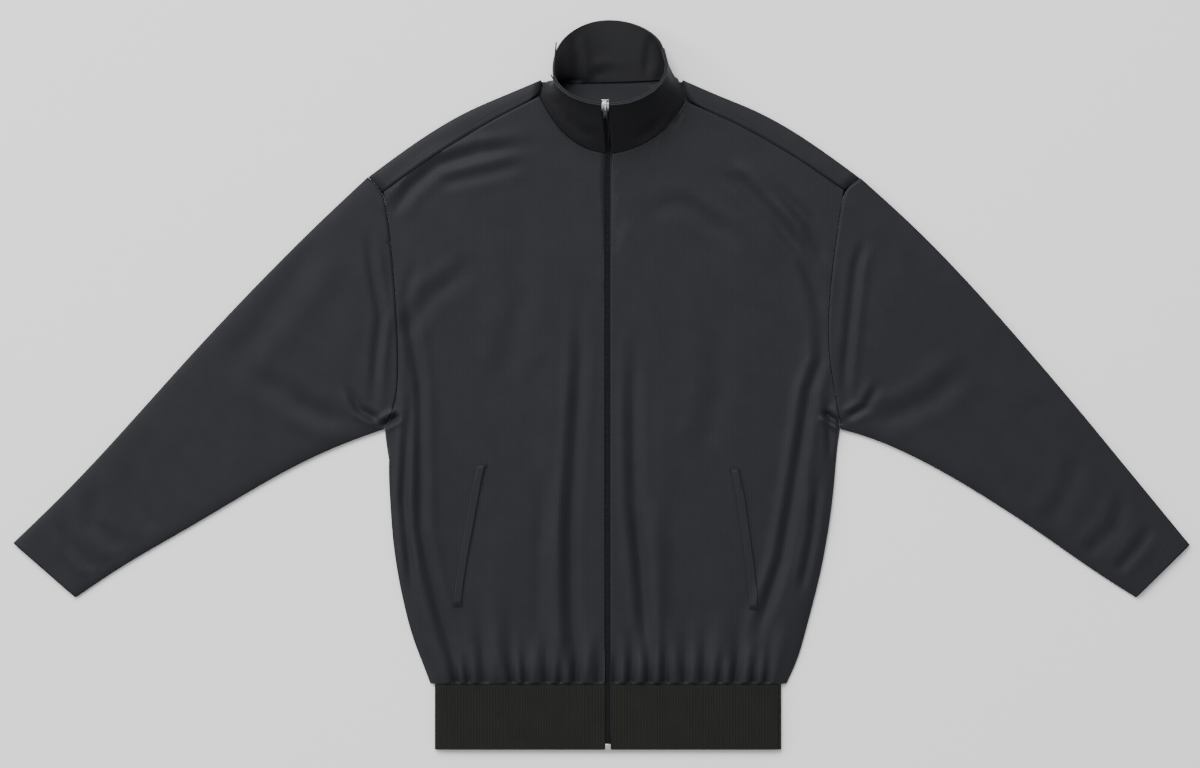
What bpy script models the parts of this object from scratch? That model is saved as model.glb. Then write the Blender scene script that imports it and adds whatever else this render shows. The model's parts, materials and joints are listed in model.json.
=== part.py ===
"""A zipped track jacket laid flat, front up: its cloth panels, rib, collar, pocket welts and zip.

The chart below is in millimetres on the garment's own lines: x runs from the zip towards the
wearer's left side, y from the foot of the hem rib towards the collar, z up from the surface
that the jacket lies on. Everything made from it is in metres.
"""

import math

import bpy
import numpy as np
from mathutils import Matrix, Vector
from mathutils.bvhtree import BVHTree

MM = 0.001

# Cloth and trim thicknesses, and the gap left at every seam.
CLOTH_WALL = 1.4
RIB_WALL = 2.3
COLLAR_WALL = 2.6
TAPE_WALL = 1.0
WELT_WALL = 1.2
SEAM_GAP = 0.3
STRIP_GAP = 0.8
TAPE_EASE = 1.4

# How the laid layers stand: both layers together, and the fold along every laid edge.
BODY_LOFT = 6.6
CUFF_LOFT = 5.2
EDGE_SHARE = 0.46
TOP_ROLL = 18.0
UNDER_ROLL = 3.0
WRAP = 7.7
HEM_PUFF = 4.6
ARMPIT_FADE = 44.0
ARMPIT_EASE = 1.8
ARMPIT_INSET = 2.7
SLEEVE_GAP = 0.6

RIB_TOP = 75.7
RIB_HALF = 200.0
RIB_ROLL = 12.0
BODY_FOOT = 76.0
COLLAR_START = 0.6
NECK_EASE = 3.4

# The zip: half the width between the cloth edges, the tapes, and where its line wanders.
ZIP_HALF_OPENING = 3.5
TAPE_INNER = 0.8
TAPE_OUTER = 7.0
ZIP_LINE = (  # height up the front, x of the zip's line
    (0, 0.0),
    (640, 0.0),
    (686, 1.5),
    (712, 1.0),
    (728, -2.0),
    (744, -5.0),
)

BODY_SIDES = (  # height, wearer's right side, wearer's left side
    (76, 205, 206),
    (103, 215, 218),
    (126, 224, 225),
    (150, 231, 231),
    (195, 241, 243),
    (241, 248, 252),
    (288, 251, 259),
    (334, 254, 263),
    (369, 257, 267),
)

SHOULDERS = {  # x, y of the laid shoulder edge, from the neck to the sleeve
    "right": ((-77, 771), (-106, 759), (-133, 747), (-161, 736), (-184, 724), (-217, 702),
              (-250, 679), (-276, 659)),
    "left": ((86, 771), (114, 759), (138, 748), (171, 736), (198, 722), (229, 702),
             (262, 679), (290, 658)),
}

SHOULDER_SEAMS = {  # x, y of the seam on the front, from the neck to the armhole
    "right": ((-79, 752), (-135, 723), (-200, 683), (-258, 642)),
    "left": ((89, 746), (148, 720), (212, 684), (271, 644)),
}

ARMHOLES = {  # x, y of the armhole seam, from the armpit to the shoulder edge
    "right": ((-257, 369), (-249, 387), (-243, 405), (-241, 448), (-244, 518), (-250, 590),
              (-254, 618), (-258, 642), (-276, 659)),
    "left": ((267, 369), (265, 388), (260, 415), (253, 460), (254, 518), (262, 587),
             (267, 622), (271, 644), (290, 658)),
}

SLEEVES = {  # x, y of the upper edge, x, y of the under edge, a row from armhole to cuff
    "right": ((-276, 659, -257, 369), (-338, 601, -307, 351), (-407, 532, -366, 324),
              (-476, 459, -428, 288), (-545, 382, -490, 251), (-614, 307, -552, 216),
              (-685, 238, -613, 175)),
    "left": ((290, 658, 267, 369), (349, 605, 313, 355), (412, 541, 375, 326),
             (476, 469, 437, 289), (540, 394, 497, 250), (606, 314, 553, 210),
             (670, 236, 608, 175)),
}

FRONT_NECK = {  # x, y of the neck seam, from the zip to the shoulder seam
    "right": ((-2, 686), (-16, 688), (-32, 695), (-48, 707), (-62, 722), (-72, 738), (-79, 752)),
    "left": ((5, 686), (19, 688), (34, 693.5), (55, 706), (72, 722), (82, 735), (89, 746)),
}

BACK_NECK = (  # x, y of the neck seam on the back
    (-77, 769), (-62, 768), (-34, 765.5), (3, 764), (42, 765.5), (70, 768), (86, 769))

NECK_CORNERS = {  # x, y, height of the collar's foot where it passes the shoulder edge
    "right": ((-75.5, 761, 7.2), (-73.0, 769.5, 4.2)),
    "left": ((85.0, 760, 7.2), (81.5, 770.5, 4.2)),
}

COLLAR = (  # place along the neck seam, then the rim there: x, y, height, and the wall's belly
    (0.00, -7.5, 736.5, 57.0, 0.0),
    (0.12, -26, 740.0, 57.0, 2.0),
    (0.22, -45, 748.0, 55.0, 3.0),
    (0.30, -59, 761.0, 50.0, 4.0),
    (0.34, -66, 777.0, 42.0, 4.0),
    (0.37, -65.5, 796.0, 31.0, 3.0),
    (0.41, -58.5, 817.0, 17.0, 0.0),
    (0.45, -43, 834.0, 5.0, 0.0),
    (0.50, -20, 841.0, 0.0, 0.0),
    (0.57, 16, 842.0, 0.0, 0.0),
    (0.62, 42, 838.0, 2.5, 0.0),
    (0.65, 57, 822.0, 14.0, 0.0),
    (0.68, 64, 804.0, 27.0, 2.0),
    (0.71, 68, 785.0, 39.0, 4.0),
    (0.76, 65, 769.0, 47.0, 4.0),
    (0.83, 51, 752.0, 54.0, 3.0),
    (0.91, 25, 739.5, 57.0, 2.0),
    (1.00, -0.5, 736.5, 57.0, 0.0),
)

FOLDS = (  # x, y at the foot, x, y at the head, half-width, rise of the fold (below 0: a trough)
    (-42, 100, -33, 520, 15, -1.6),
    (-62, 105, -58, 470, 17, 2.4),
    (40, 95, 31, 480, 15, -1.6),
    (60, 100, 54, 420, 17, 2.4),
    (-163, 90, -216, 430, 15, -1.5),
    (-190, 120, -232, 520, 14, 2.6),
    (167, 115, 232, 420, 15, -1.5),
    (192, 110, 250, 500, 14, 2.4),
    (-215, 625, -105, 694, 18, 2.2),
    (205, 590, 120, 668, 18, 2.2),
    (-130, 110, -120, 250, 17, 1.8),
    (118, 110, 122, 230, 17, 1.8),
    (-95, 100, -100, 200, 14, -1.2),
    (92, 100, 96, 180, 14, -1.2),
)

SLEEVE_FOLDS = (  # the same, across and along the sleeves
    (-300, 400, -296, 600, 16, 1.6),
    (312, 400, 318, 600, 16, 1.6),
    (-585, 215, -640, 262, 14, 1.5),
    (582, 212, 628, 262, 14, 1.5),
    (-520, 262, -575, 330, 15, -1.0),
    (515, 262, 560, 330, 15, -1.0),
)

POCKETS = {  # x, y along the slit, from its head to its foot
    "right": ((-150, 328), (-157, 297), (-163, 263), (-170, 226), (-175, 194), (-178, 167)),
    "left": ((150, 323), (156, 297), (161, 263), (166, 227), (170, 195), (172, 164)),
}
WELT_WIDTH = 9.0

# The metal parts.
SLIDER_LENGTH = 10.5
SLIDER_WIDTH = 8.4
SLIDER_PLATE = 1.2
SLIDER_WEB = 0.8
SLIDER_POST = 2.4
BRIDGE_WIDTH = 1.5
BRIDGE_LENGTH = 6.0
BRIDGE_HOLE = 2.2
BRIDGE_WALL = 1.0
PULL_BAR = 1.2
PULL_LENGTH = 15.0
PULL_WIDTH = 5.0
PULL_WALL = 1.1
PULL_EYE_WIDTH = 2.6
PULL_EYE_LENGTH = 4.4
BOX_WIDTH = 6.4
BOX_LENGTH = 7.0
BOX_HEIGHT = 3.4
POST_LENGTH = 2.6
SLIDER_BELOW_RIM = 2.0
PULL_DROOP = 3.0
TAPE_END = 4.6

# Where the rows and columns of the panels fall.
SIDE_ROWS = (76, 79, 86, 97, 112, 134, 164, 200, 240, 280, 316, 345, 359, 369)
ARM_STEPS = (0.010, 0.032, 0.065, 0.12, 0.21, 0.32, 0.45, 0.59, 0.73, 0.84)
NECK_COLUMNS = 6
SHOULDER_STEPS = (0.09, 0.2, 0.31, 0.42, 0.53, 0.64, 0.74, 0.83, 0.905, 0.955, 0.985, 1.0)
SHOULDER_COLUMNS = 5
STRIP_ROWS = (  # distance from the shoulder edge, whether on the upper layer; None is the seam
    (3.0, False), (0.9, False), (0.0, True), (2.6, True), (9.0, True), (None, True))
RIB_COLUMNS = (3.5, 60.0, 120.0, 172.0)
RIB_ROWS = (0.0, 25.0, 50.0, RIB_TOP)
COLLAR_ROWS = (0.0, 0.12, 0.34, 0.56, 0.78, 0.93, 1.0)
WELT_ROWS = 11
SLEEVE_ROWS = (0.0, 0.06, 0.14, 0.24, 0.36, 0.49, 0.62, 0.75, 0.87, 0.96, 1.0)

MATERIALS = {  # base colour, roughness, metallic
    "body_knit": ((0.034, 0.036, 0.042), 0.62, 0.0),
    "rib_knit": ((0.023, 0.023, 0.021), 0.85, 0.0),
    "zip_tape": ((0.020, 0.021, 0.024), 0.7, 0.0),
    "zip_metal": ((0.62, 0.62, 0.64), 0.28, 1.0),
    "pull_metal": ((0.10, 0.10, 0.11), 0.35, 1.0),
}


# ---------------------------------------------------------------- lines and heights

def smooth_line(rows, steps=14):
    """A dense line that passes smoothly through the rows (Catmull-Rom)."""
    p = np.array(rows, float)
    p = np.vstack([2 * p[0] - p[1], p, 2 * p[-1] - p[-2]])
    t = np.linspace(0, 1, steps, endpoint=False)[:, None]
    spans = []
    for a, b, c, d in zip(p[:-3], p[1:-2], p[2:-1], p[3:]):
        spans.append(0.5 * (2 * b + (c - a) * t + (2 * a - 5 * b + 4 * c - d) * t**2
                            + (3 * b - a - 3 * c + d) * t**3))
    return np.vstack(spans + [p[-2:-1]])


def along(rows, fractions):
    """Points on the smooth line through the rows, at fractions of its length."""
    line = smooth_line(rows)
    length = np.concatenate([[0], np.cumsum(np.linalg.norm(np.diff(line[:, :2], axis=0), axis=1))])
    length /= length[-1]
    return np.stack([np.interp(fractions, length, column) for column in line.T], axis=-1)


def table(rows, x, column):
    """A column of a table read smoothly at x, which is its first column."""
    line = smooth_line(rows)
    return np.interp(x, line[:, 0], line[:, column])


def smooth_step(t):
    t = np.clip(t, 0, 1)
    return t * t * (3 - 2 * t)


def body_side(y, side):
    """The laid body's edge at height y."""
    return table(BODY_SIDES, y, 1 if side == "right" else 2) * (-1 if side == "right" else 1)


def laid_edges():
    """The lines where the top layer turns under: shoulders, sleeves and body sides."""
    lines = []
    for side in ("right", "left"):
        sleeve = np.array(SLEEVES[side], float)
        lines.append(np.vstack([smooth_line(SHOULDERS[side]), smooth_line(sleeve[:, :2])[1:]]))
        lines.append(smooth_line(sleeve[:, 2:]))
        heights = np.linspace(40, BODY_SIDES[-1][0], 40)
        lines.append(np.stack([body_side(heights, side), heights], axis=-1))
    return lines


LAID_EDGES = laid_edges()


def edge_distance(points):
    """How far each point lies from the nearest laid edge."""
    flat = points.reshape(-1, 2)
    nearest = np.full(len(flat), 1e9)
    for line in LAID_EDGES:
        a, d = line[:-1], np.diff(line, axis=0)
        rel = flat[:, None, :] - a[None]
        t = np.clip((rel * d).sum(-1) / np.maximum((d * d).sum(-1), 1e-9), 0, 1)
        gap = np.linalg.norm(rel - t[..., None] * d[None], axis=-1)
        nearest = np.minimum(nearest, gap.min(axis=1))
    return nearest.reshape(points.shape[:-1])


def loft(points):
    """The height of both layers together, away from the edges: less towards the cuffs."""
    reach = smooth_step((np.abs(points[..., 0]) - 260) / 380)
    return BODY_LOFT + (CUFF_LOFT - BODY_LOFT) * reach


def fold_heights(points, folds):
    """The rise of all the folds in a table at each point."""
    total = np.zeros(points.shape[:-1])
    for x0, y0, x1, y1, half_width, rise in folds:
        a, d = np.array([x0, y0], float), np.array([x1 - x0, y1 - y0], float)
        rel = points - a
        t = (rel @ d) / (d @ d)
        across = np.abs(rel[..., 0] * d[1] - rel[..., 1] * d[0]) / np.linalg.norm(d)
        ends = smooth_step(t / 0.3 + 0.35) * smooth_step((1 - t) / 0.45 + 0.2)
        total += rise * np.exp(-(across / half_width) ** 2) * ends
    return total


def top_height(points, roll=TOP_ROLL):
    """The outer face of the upper layer, without its folds."""
    high = loft(points)
    rest = high * EDGE_SHARE
    inward = np.clip(edge_distance(points) / (roll * high / BODY_LOFT), 0, 1)
    return rest + (high - rest) * np.sqrt(1 - (1 - inward) ** 2)


def under_height(points):
    """The outer face of the under layer: flat on the surface, rounding up at the laid edges."""
    rest = loft(points) * EDGE_SHARE
    inward = np.clip(edge_distance(points) / UNDER_ROLL, 0, 1)
    return rest * (1 - np.sqrt(1 - (1 - inward) ** 2))


def with_height(points, height):
    return np.concatenate([points, height[..., None]], axis=-1)


# ---------------------------------------------------------------- seam lines

def armhole(side, fractions):
    return along(ARMHOLES[side], fractions)


def seam_fraction(side):
    """Where the shoulder seam meets the armhole, as a fraction of the armhole's length."""
    line = smooth_line(ARMHOLES[side])
    seam_end = np.array(SHOULDER_SEAMS[side][-1], float)
    nearest = np.argmin(np.linalg.norm(line - seam_end, axis=1))
    length = np.concatenate([[0], np.cumsum(np.linalg.norm(np.diff(line, axis=0), axis=1))])
    return length[nearest] / length[-1]


def front_arm_steps(side):
    """Fractions along the front armhole, from just above the armpit to the shoulder seam."""
    return [*ARM_STEPS, seam_fraction(side)]


def front_neck(side):
    return along(FRONT_NECK[side], np.linspace(0, 1, NECK_COLUMNS + 1))


def zip_line(y):
    return table(ZIP_LINE, y, 1)


# ---------------------------------------------------------------- making the pieces

def material(name):
    """A Principled BSDF material with the finish that MATERIALS gives."""
    found = bpy.data.materials.get(name)
    if found:
        return found
    colour, roughness, metallic = MATERIALS[name]
    made = bpy.data.materials.new(name)
    made.use_nodes = True
    shader = made.node_tree.nodes["Principled BSDF"]
    shader.inputs["Base Color"].default_value = (*colour, 1)
    shader.inputs["Roughness"].default_value = roughness
    shader.inputs["Metallic"].default_value = metallic
    made.diffuse_color = (*colour, 1)
    return made


def finish(obj, name, finish_name):
    """Names an object, gives it its material and moves it to the jacket's collection."""
    obj.name = name
    obj.data.name = name
    obj.data.materials.clear()
    obj.data.materials.append(material(finish_name))
    for collection in list(obj.users_collection):
        collection.objects.unlink(obj)
    JACKET.objects.link(obj)
    obj.parent = LAID
    return obj


def laid_grid(points):
    """A primitive grid whose corners are laid on rows of points (mm)."""
    rows, columns = points.shape[:2]
    bpy.ops.mesh.primitive_grid_add(x_subdivisions=columns - 1, y_subdivisions=rows - 1, size=2)
    obj = bpy.context.object
    for vertex in obj.data.vertices:
        column = round((vertex.co.x + 1) / 2 * (columns - 1))
        row = round((vertex.co.y + 1) / 2 * (rows - 1))
        vertex.co = Vector(points[row, column] * MM)
    return obj


def cloth(name, patches, wall, finish_name):
    """A piece of cloth from one or more laid grids that share edges, with its wall inside."""
    parts = [laid_grid(points) for points in patches]
    for obj in parts:
        obj.select_set(True)
    if len(parts) > 1:
        bpy.ops.object.join()
    obj = bpy.context.object
    weld = obj.modifiers.new("seams", "WELD")
    weld.merge_threshold = 0.00005
    wall_maker = obj.modifiers.new("wall", "SOLIDIFY")
    wall_maker.thickness = wall * MM
    wall_maker.offset = -1
    wall_maker.use_even_offset = name != "collar"
    wall_maker.use_quality_normals = True
    return finish(obj, name, finish_name)


def side_border(side):
    """A front's outer border: under the laid side, up to the armpit, then along the armhole.

    Below the armpit it lies past the laid edge, because the front turns under there."""
    heights = np.array(SIDE_ROWS, float)
    sign = -1 if side == "right" else 1
    lower = np.stack([body_side(heights, side) + sign * side_turn(heights), heights], axis=-1)
    return np.vstack([lower, armhole(side, front_arm_steps(side))])


def turn_under(points, side):
    """Carries what lies past the laid side round its fold and under it."""
    sign = -1 if side == "right" else 1
    edge = body_side(points[..., 1], side)
    past = sign * (points[..., 0] - edge)
    below = (past > 0) & (points[..., 1] < BODY_SIDES[-1][0] + 1)
    rest = BODY_LOFT * EDGE_SHARE
    angle = np.clip(past / UNDER_ROLL, 0, math.pi / 2)
    x = np.where(below, edge - sign * fold_inward(past), points[..., 0])
    z = np.where(below, rest * (1 - np.sin(angle)), np.nan)
    return x, z


def seam_fade(rows, columns):
    """1 over a front's middle, falling to 0 at its seams, where it must meet its neighbours."""
    u = np.linspace(0, 1, columns)[None, :]
    v = np.linspace(0, 1, rows)[:, None]
    return smooth_step(u * 9) * smooth_step((1 - u) * 4) * smooth_step(v * 14) * smooth_step((1 - v) * 7)


def front_grid(side):
    """The rows of points of a front's outer face, from the hem up, each from the zip outwards."""
    sign = -1 if side == "right" else 1
    border = side_border(side)
    neck = front_neck(side)
    seam = along(SHOULDER_SEAMS[side], SHOULDER_STEPS)
    top = np.vstack([neck, seam])
    reach = np.concatenate([[0], np.cumsum(np.linalg.norm(np.diff(top, axis=0), axis=1))])
    u = reach / reach[-1]
    v = (border[:, 1] - border[0, 1]) / (border[-1, 1] - border[0, 1])
    rise = BODY_FOOT + (neck[0, 1] - BODY_FOOT) * v
    zip_edge = np.stack([zip_line(rise) + sign * ZIP_HALF_OPENING, rise], axis=-1)
    zip_edge[-1] = neck[0]
    foot = zip_edge[0] + (border[0] - zip_edge[0]) * u[:, None]
    plan = coons(zip_edge, border, foot, top, u, v)
    turned_x, turned_z = turn_under(plan, side)
    height = top_height(plan)
    fade = seam_fade(len(v), len(u))
    puff = HEM_PUFF * np.exp(-((plan[..., 1] - 96) / 26) ** 2) * (0.75 + 0.25 * np.cos(plan[..., 0] / 9.5))
    height = height + fade * fold_heights(plan, FOLDS) + puff * hem_fade(plan, u)
    height = np.where(np.isnan(turned_z), height, turned_z)
    plan = np.stack([turned_x, plan[..., 1]], axis=-1)
    return with_height(plan, height)


def hem_fade(plan, u):
    """The hem's fullness starts at the rib seam and dies at the zip and at the laid side."""
    rise = smooth_step((plan[..., 1] - BODY_FOOT) / 14)
    return rise * smooth_step(u * 12)[None, :] * smooth_step((0.93 - u) * 7)[None, :]


def side_turn(heights):
    """How far a front wraps past the laid side: all the way below, nothing at the armpit."""
    top = BODY_SIDES[-1][0]
    start = top - ARMPIT_FADE
    return WRAP * (1 - smooth_step((heights - start) / (top - start)))


def fold_inward(past):
    """How far inside the laid edge a point lies that wraps past it by this much."""
    angle = np.clip(past / UNDER_ROLL, 0, math.pi / 2)
    return UNDER_ROLL * (1 - np.cos(angle)) + np.maximum(past - UNDER_ROLL * math.pi / 2, 0)


def over_shoulder(side, edge, seam, rows):
    """Points from the under layer over the shoulder edge to the seam on the front.

    rows gives (distance from the edge, whether it is on the upper layer)."""
    out = []
    reach = np.linalg.norm(seam - edge, axis=-1, keepdims=True)
    inward = (seam - edge) / reach
    for distance, upper in rows:
        step = reach - STRIP_GAP if distance is None else np.full_like(reach, distance)
        plan = edge + inward * step
        out.append(with_height(plan, top_height(plan) if upper else under_height(plan)))
    return np.array(out)


def shoulder_points(side):
    """The shoulder edge and the seam beside it, from the neck to the armhole."""
    steps = np.linspace(0, 1, SHOULDER_COLUMNS + 1)
    return along(SHOULDERS[side], steps), along(SHOULDER_SEAMS[side], steps)


def back_border(side):
    """The back's border on the under layer: the side seam, then the armhole."""
    sign = -1 if side == "right" else 1
    heights = np.array(SIDE_ROWS, float)
    turned = side_turn(heights)
    inset = fold_inward(turned) + SEAM_GAP + np.where(turned < WRAP - 0.1, ARMPIT_EASE, 0)
    inset = np.maximum(inset, ARMPIT_INSET)
    lower = np.stack([body_side(heights, side) - sign * inset, heights], axis=-1)
    return np.vstack([lower, armhole(side, front_arm_steps(side))])


def back_patches():
    """The back as three grids that share their edges: the under layer and a strip over each shoulder."""
    strips, tops, borders = {}, {}, {}
    for side in ("right", "left"):
        edge, seam = shoulder_points(side)
        strips[side] = over_shoulder(side, edge, seam, STRIP_ROWS)
        tops[side] = strips[side][0][:, :2]
        borders[side] = np.vstack([back_border(side), tops[side][-1:]])
    neck = np.array(BACK_NECK, float)
    top = np.vstack([tops["right"][::-1], neck, tops["left"]])
    left, right = borders["right"], borders["left"]
    u = (top[:, 0] - top[0, 0]) / (top[-1, 0] - top[0, 0])
    v = (left[:, 1] - left[0, 1]) / (left[-1, 1] - left[0, 1])
    plan = coons(left, right, left[0] + (right[0] - left[0]) * u[:, None], top, u, v)
    return [with_height(plan, under_height(plan)), strips["right"][:, ::-1], strips["left"]]


def coons(near, far, foot, top, u, v):
    """A patch stretched between four border lines."""
    u_, v_ = u[None, :, None], v[:, None, None]
    return ((1 - u_) * near[:, None] + u_ * far[:, None] + (1 - v_) * foot[None] + v_ * top[None]
            - (1 - u_) * (1 - v_) * foot[0] - u_ * (1 - v_) * foot[-1]
            - (1 - u_) * v_ * top[0] - u_ * v_ * top[-1])


def sleeve_grid(side):
    """The rows of a sleeve's tube, from the armhole to the cuff, each running round it."""
    sign = -1 if side == "right" else 1
    edge, seam = shoulder_points(side)
    corner, seam_end = edge[-1], seam[-1]
    reach = np.linalg.norm(seam_end - corner)
    line = smooth_line(ARMHOLES[side])
    length = np.linalg.norm(np.diff(line, axis=0), axis=1).sum()
    arm = [0.0, *front_arm_steps(side)]
    ring, steps, upper = list(armhole(side, arm)), list(arm), [True] * len(arm)
    for distance, on_top in reversed(STRIP_ROWS[:-1]):
        ring.append(corner + (seam_end - corner) * distance / reach)
        steps.append(1 - distance / length)
        upper.append(on_top)
    ring += list(armhole(side, arm[:0:-1]))
    steps += arm[:0:-1]
    upper += [False] * (len(arm) - 1)
    ring, steps, upper = np.array(ring), np.array(steps), np.array(upper)
    ring[:, 0] += sign * SLEEVE_GAP
    sections = along(SLEEVES[side], SLEEVE_ROWS)
    bow = ring - (sections[0, 2:] + steps[:, None] * (sections[0, :2] - sections[0, 2:]))
    rows = []
    for s, (xt, yt, xb, yb) in zip(SLEEVE_ROWS, sections):
        under_edge, upper_edge = np.array([xb, yb]), np.array([xt, yt])
        plan = under_edge + steps[:, None] * (upper_edge - under_edge) + bow * (1 - s) ** 3
        folds = fold_heights(plan, SLEEVE_FOLDS) * np.sin(math.pi * steps) * smooth_step(s * 8)
        height = np.where(upper, top_height(plan) + folds, under_height(plan))
        rows.append(with_height(plan, height))
    grid = np.array(rows)
    return np.concatenate([grid, grid[:, :1]], axis=1)


def rib_grid():
    """The hem rib: from the zip round one side, under, and back to the zip."""
    half = []
    for x in RIB_COLUMNS:
        half.append((x, BODY_LOFT))
    rest = BODY_LOFT * EDGE_SHARE
    for angle in (60, 30, 0):
        turn = math.radians(angle)
        inward = RIB_ROLL * (1 - math.cos(turn))
        half.append((RIB_HALF - inward, rest + (BODY_LOFT - rest) * math.sin(turn)))
    for angle in (45, 90):
        turn = math.radians(angle)
        half.append((RIB_HALF - UNDER_ROLL * (1 - math.cos(turn)), rest * (1 - math.sin(turn))))
    for x in reversed(RIB_COLUMNS[1:]):
        half.append((x, 0.0))
    half = np.array(half)
    ring = np.vstack([half * (-1, 1), half[::-1]])
    rows = []
    for y in RIB_ROWS:
        rows.append(np.stack([ring[:, 0], np.full(len(ring), y), ring[:, 1]], axis=-1))
    return np.array(rows)


def neck_ring():
    """The line that the collar rises from, just inside the neck seam, from the zip round to the zip."""
    halves = {}
    for side in ("right", "left"):
        front = front_neck(side)
        halves[side] = np.vstack([with_height(front, top_height(front)), NECK_CORNERS[side]])
    neck = np.array(BACK_NECK[1:-1], float)
    neck[:, 1] += NECK_EASE
    return np.vstack([halves["right"], with_height(neck, neck[:, 0] * 0), halves["left"][::-1]])


def collar_grid():
    """The collar's outer face, from the neck seam up to its rim."""
    ring = neck_ring()
    place = np.concatenate([[0], np.cumsum(np.linalg.norm(np.diff(ring, axis=0), axis=1))])
    place /= place[-1]
    rim = np.stack([table(COLLAR, place, column) for column in (1, 2, 3)], axis=-1)
    belly = table(COLLAR, place, 4)
    rise = rim - ring
    rise_length = np.linalg.norm(rise, axis=1, keepdims=True)
    outward = np.cross(np.gradient(ring, axis=0), rise)
    outward /= np.linalg.norm(outward, axis=1, keepdims=True)
    start = ring + rise / rise_length * COLLAR_START
    rows = []
    for w in COLLAR_ROWS:
        rows.append(start + (rim - start) * w + outward * (belly * math.sin(math.pi * w))[:, None])
    return np.array(rows)


def surface_finder(obj):
    """A function that gives the height of a piece's upper face at a place, in millimetres."""
    graph = bpy.context.evaluated_depsgraph_get()
    tree = BVHTree.FromObject(obj, graph)

    def height(x, y):
        hit = tree.ray_cast(Vector((x * MM, y * MM, 1.0)), Vector((0, 0, -1)))
        return hit[0].z / MM

    return height


def welt(side, front):
    """A pocket welt: a narrow strip on the zip side of the slit, lying on the front."""
    sign = -1 if side == "right" else 1
    height = surface_finder(front)
    slit = along(POCKETS[side], np.linspace(0, 1, WELT_ROWS))
    rows = []
    for x, y in slit[::-1]:
        inner, outer = x - sign * WELT_WIDTH, x
        middle = (inner + outer) / 2
        row = []
        for place in sorted((inner, middle, outer)):
            row.append((place, y, height(place, y) + SEAM_GAP + 0.15 + WELT_WALL))
        rows.append(row)
    return cloth("pocket_welt_" + side, [np.array(rows)], WELT_WALL, "body_knit")


def tape_line():
    """The zip tape's outer face along the middle of the front: height up the front, height off the surface."""
    under_rib = BODY_LOFT - RIB_WALL - SEAM_GAP
    under_cloth = BODY_LOFT - CLOTH_WALL - SEAM_GAP
    inside = COLLAR_WALL + TAPE_EASE
    foot = np.array([FRONT_NECK["right"][0][1] + 0.4, BODY_LOFT + 0.4])
    rim = np.array([COLLAR[0][2], COLLAR[0][3]])
    slope = (rim - foot) / np.linalg.norm(rim - foot)
    inward = np.array([slope[1], -slope[0]]) * inside
    rows = [(0.5, under_rib), (38, under_rib), (76, under_rib), (84, under_cloth)]
    for y in range(130, 680, 60):
        rows.append((y, under_cloth))
    rows.append((680, under_cloth - 0.5))
    for step in (0.0, 12.0, 24.0, 36.0, 48.0, np.linalg.norm(rim - foot) - TAPE_END):
        rows.append(tuple(foot + inward + slope * step))
    return np.array(rows)


def tape(side):
    """One zip tape, behind the cloth edges from the hem to just under the collar's rim."""
    sign = -1 if side == "right" else 1
    rows = []
    for y, z in tape_line():
        middle = zip_line(y)
        row = [(middle + sign * x, y, z) for x in (TAPE_INNER, TAPE_OUTER / 2, TAPE_OUTER)]
        rows.append(sorted(row))
    return cloth("zip_tape_" + side, [np.array(rows)], TAPE_WALL, "zip_tape")


def block(name, size, centre):
    """A box of a size (x, y, z) about a centre, both in millimetres."""
    bpy.ops.mesh.primitive_cube_add(size=1)
    obj = bpy.context.object
    obj.name = name
    obj.data.transform(scaling(size))
    obj.data.transform(shift(centre))
    return obj


def scaling(size):
    return Matrix.Diagonal((size[0] * MM, size[1] * MM, size[2] * MM, 1))


def shift(centre):
    return Matrix.Translation(Vector(centre) * MM)


def cut(obj, cutter):
    """Takes a cutter's shape out of an object."""
    for collection in list(cutter.users_collection):
        collection.objects.unlink(cutter)
    CUTTERS.objects.link(cutter)
    cutter.hide_render = True
    cutter.display_type = "WIRE"
    cutter.parent = obj
    boolean = obj.modifiers.new(cutter.name, "BOOLEAN")
    boolean.operation = "DIFFERENCE"
    boolean.object = cutter


def zip_frame():
    """Where the slider sits: its place on the collar's rim and the slope of the collar there."""
    foot = np.array([FRONT_NECK["right"][0][1] + 0.4, BODY_LOFT + 0.4])
    rim = np.array([COLLAR[0][2], COLLAR[0][3]])
    slope = (rim - foot) / np.linalg.norm(rim - foot)
    place = rim - slope * SLIDER_BELOW_RIM
    return place, math.atan2(slope[1], slope[0])


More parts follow.
